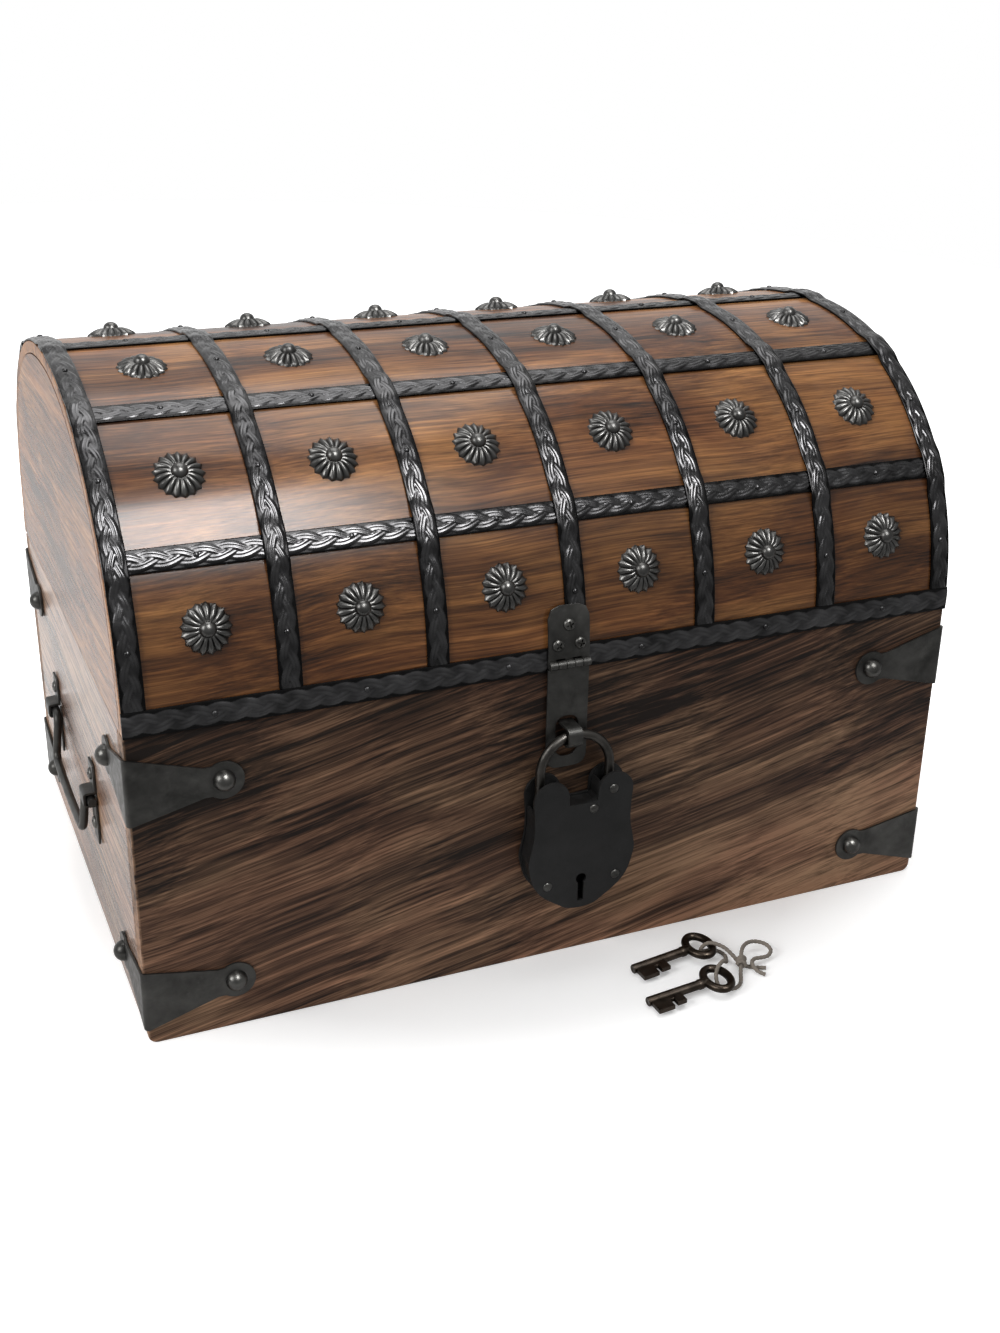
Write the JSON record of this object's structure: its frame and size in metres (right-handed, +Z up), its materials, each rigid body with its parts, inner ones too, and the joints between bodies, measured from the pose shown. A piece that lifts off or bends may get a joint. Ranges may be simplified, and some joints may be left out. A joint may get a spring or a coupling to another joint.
{
  "type": "treasure chest",
  "caption": "Dome-lidded wooden treasure chest with studded iron bands, corner straps, drop handles, a hasp with a hanging padlock, and keys tied with twine.",
  "frame": {"origin": "middle of the chest's flat underside, on the surface that it stands on", "axes": "+X to the viewer's right along the length, -Y out of the front where the hasp is, +Z up"},
  "size_m": [0.4472, 0.37, 0.3002],
  "materials": {
    "body_wood": "dark scorched boards under a satin varnish",
    "lid_wood": "dark scorched staves under a satin varnish, warmer than the body",
    "band_iron": "black lacquered sheet iron with an embossed braid, worn bright on its ridges",
    "plain_iron": "blackened iron with worn edges",
    "lock_black": "matte black paint",
    "shackle_steel": "darkened steel, rubbed bright in places",
    "key_bronze": "dark bronze-brown patina",
    "twine_fibre": "grey-beige twisted plant fibre"
  },
  "bodies": {
    "box": {"front_panel": "body_wood", "back_panel": "body_wood", "left_panel": "body_wood", "right_panel": "body_wood", "base_panel": "body_wood", "corner_strap_front_left_upper": "plain_iron", "corner_strap_front_left_lower": "plain_iron", "corner_strap_front_right_upper": "plain_iron", "corner_strap_front_right_lower": "plain_iron", "corner_strap_back_left_upper": "plain_iron", "corner_strap_back_left_lower": "plain_iron", "corner_strap_back_right_upper": "plain_iron", "corner_strap_back_right_lower": "plain_iron", "hasp_staple": "plain_iron", "handle_lug_left_front": "plain_iron", "handle_lug_left_back": "plain_iron", "handle_lug_right_front": "plain_iron", "handle_lug_right_back": "plain_iron", "hinge_box_leaf_left": "plain_iron", "hinge_box_leaf_right": "plain_iron"},
    "lid": {"lid_rail_front": "lid_wood", "lid_stave_1": "lid_wood", "lid_stave_2": "lid_wood", "lid_stave_3": "lid_wood", "lid_stave_4": "lid_wood", "lid_stave_5": "lid_wood", "lid_stave_6": "lid_wood", "lid_rail_back": "lid_wood", "lid_end_left": "lid_wood", "lid_end_right": "lid_wood", "rim_band_front": "band_iron", "rim_band_back": "band_iron", "long_band_1": "band_iron", "long_band_2": "band_iron", "long_band_3": "band_iron", "long_band_4": "band_iron", "long_band_5": "band_iron", "cross_band_1": "band_iron", "cross_band_2": "band_iron", "cross_band_3": "band_iron", "cross_band_4": "band_iron", "cross_band_5": "band_iron", "cross_band_6": "band_iron", "cross_band_7": "band_iron", "hinge_lid_leaf_left": "plain_iron", "hinge_lid_leaf_right": "plain_iron", "hasp_plate": "plain_iron"},
    "hasp": {"hasp_leaf": "plain_iron"},
    "shackle": {"padlock_shackle": "shackle_steel"},
    "padlock": {"padlock_front_plate": "lock_black", "padlock_back_plate": "lock_black", "padlock_wall": "lock_black", "padlock_notch_wall": "lock_black", "padlock_heel_rivet": "plain_iron"},
    "handle_left": {"handle_bail_left": "plain_iron"},
    "handle_right": {"handle_bail_right": "plain_iron"},
    "keys": {"key_1": "key_bronze", "key_2": "key_bronze", "key_twine": "twine_fibre"}
  },
  "joints": [
    {"name": "lid_open", "type": "hinge", "parent": "box", "child": "lid", "pos_m": [0, 0.1504, 0.1593], "axis": [-1, 0, 0], "range_deg": [0, 105]},
    {"name": "hasp_swing", "type": "hinge", "parent": "lid", "child": "hasp", "pos_m": [-0.0045, -0.1504, 0.1635], "axis": [-1, 0, 0], "range_deg": [0, 165]},
    {"name": "shackle_swing", "type": "hinge", "parent": "box", "child": "shackle", "pos_m": [-0.002, -0.155, 0.128], "axis": [-1, 0, 0], "range_deg": [0, 60]},
    {"name": "case_open", "type": "hinge", "parent": "shackle", "child": "padlock", "pos_m": [0.0166, -0.155, 0.0981], "axis": [0, -1, 0], "range_deg": [0, 50]},
    {"name": "handle_swing_left", "type": "hinge", "parent": "box", "child": "handle_left", "pos_m": [-0.2181, 0.01055, 0.0825], "axis": [0, 1, 0], "range_deg": [0, 165]},
    {"name": "handle_swing_right", "type": "hinge", "parent": "box", "child": "handle_right", "pos_m": [0.2181, 0.01055, 0.0825], "axis": [0, -1, 0], "range_deg": [0, 165]},
    {"name": "keys_lift", "type": "slide", "parent": "box", "child": "keys", "axis": [0, 0, 1], "range_m": [0, 0.05]}
  ]
}
